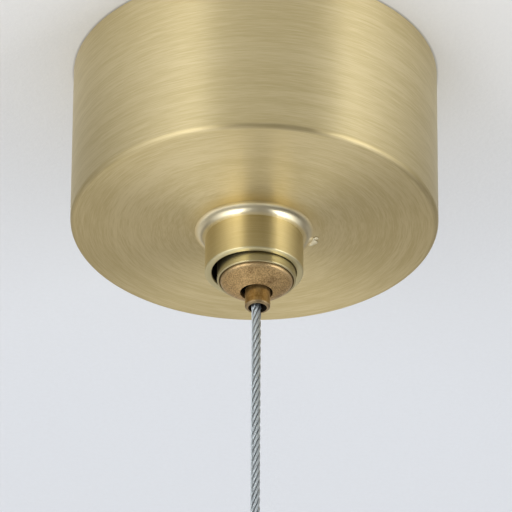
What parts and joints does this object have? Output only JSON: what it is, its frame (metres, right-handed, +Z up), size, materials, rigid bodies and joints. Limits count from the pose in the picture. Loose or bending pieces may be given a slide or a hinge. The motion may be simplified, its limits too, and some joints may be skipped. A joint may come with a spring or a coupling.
{
  "type": "rise and fall pendant",
  "caption": "Brushed brass ceiling cup with a wire rope gripper: pressing the plunger lets the steel rope and the lamp on it rise or fall.",
  "frame": {"origin": "midway between the two ceiling screws, on the ceiling's face, on the rope's axis", "axes": "+Z up into the ceiling along the rope, +X through the two ceiling screws, the picture looks along +Y from below"},
  "size_m": [0.06, 0.06, 0.1045],
  "materials": {
    "canopy_brass": "satin brushed, circumferential",
    "neck_brass": "turned and polished",
    "solder_fillet": "bright solder run",
    "sleeve_brass": "turned",
    "cast_bronze": "fine cast, matt",
    "plunger_bronze": "turned, worn",
    "wire_rope": "stranded wire",
    "zinc_steel": "zinc plated, satin",
    "nut_steel": "zinc plated, turned",
    "stem_brass": "threaded",
    "ball_steel": "hardened and polished",
    "spring_steel": "drawn wire",
    "nylon": "natural nylon",
    "stop_copper": "crimped copper",
    "nipple_steel": "turned",
    "cap_brass": "satin turned",
    "grub_steel": "black oxide"
  },
  "bodies": {
    "ceiling_mount": {"ceiling_bracket": "zinc_steel", "bracket_nut_lower": "nut_steel", "bracket_lock_washer": "nut_steel", "bracket_nut_upper": "nut_steel", "threaded_stem": "stem_brass", "rope_guide": "nylon", "canopy_cup": "canopy_brass", "canopy_neck": "neck_brass", "neck_solder": "solder_fillet", "gripper_sleeve": "sleeve_brass", "clamp_body": "cast_bronze", "release_spring": "spring_steel", "rope_drop": "wire_rope", "rope_gripped": "wire_rope", "rope_tail": "wire_rope", "rope_coil": "wire_rope", "rope_stop": "stop_copper"},
    "release_plunger": {"plunger": "plunger_bronze", "clamp_balls": "ball_steel"},
    "rope_end": {"rope_nipple": "nipple_steel", "swivel_washer": "nylon"},
    "lamp_end": {"lamp_cap": "cap_brass", "lamp_grub_screw": "grub_steel"}
  },
  "joints": [
    {"name": "plunger_press", "type": "slide", "parent": "ceiling_mount", "child": "release_plunger", "axis": [0, 0, 1], "range_m": [0, 0.002], "stiffness_N_per_m": 400, "springref_m": -0.003, "deforming": ["release_spring"]},
    {"name": "rise_and_fall", "type": "slide", "parent": "ceiling_mount", "child": "rope_end", "axis": [0, 0, 1], "range_m": [-0.85, 0.04], "deforming": ["rope_drop"]},
    {"name": "lamp_swivel", "type": "hinge", "parent": "rope_end", "child": "lamp_end", "pos_m": [0, 0, -0.0915], "axis": [0, 0, 1], "continuous": true}
  ]
}
